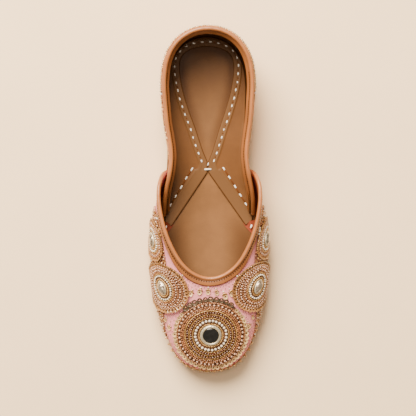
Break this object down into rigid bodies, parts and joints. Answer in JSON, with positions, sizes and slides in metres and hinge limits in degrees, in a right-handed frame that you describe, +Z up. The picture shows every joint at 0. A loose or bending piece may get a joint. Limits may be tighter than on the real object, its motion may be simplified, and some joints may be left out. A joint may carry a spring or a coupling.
{
  "type": "mojari shoe",
  "caption": "Beaded slip-on flat on a straight last: cupped quarter, lapped vamp with rolled leather toplines and round mirror medallions, leather insole with a teardrop lining yoke.",
  "frame": {"origin": "centre of the footprint of the whole shoe, on the floor that it stands on", "axes": "+Z up, +Y along the shoe from toe to heel, X across; -Y is the way the toe points"},
  "size_m": [0.0874, 0.2432, 0.0546],
  "materials": {
    "sole_leather": "matt",
    "insole_leather": "satin",
    "lining_leather": "satin",
    "binding_leather": "satin",
    "pink_cloth": "matt",
    "beadwork": "satin",
    "jewel_mirror": "polished",
    "jewel_rim": "satin",
    "crystal": "polished"
  },
  "bodies": {
    "root": {"outsole": "sole_leather", "insole": "insole_leather", "lining_yoke": "lining_leather", "quarter": "pink_cloth", "vamp": "pink_cloth", "quarter_binding": "binding_leather", "vamp_binding": "binding_leather", "toe_medallion": "beadwork", "toe_mirror": "jewel_mirror", "toe_bezel": "jewel_rim", "front_medallion_left": "beadwork", "front_stone_left": "crystal", "front_medallion_right": "beadwork", "front_stone_right": "crystal", "rear_medallion_left": "beadwork", "rear_stone_left": "crystal", "rear_medallion_right": "beadwork", "rear_stone_right": "crystal"}
  },
  "joints": []
}
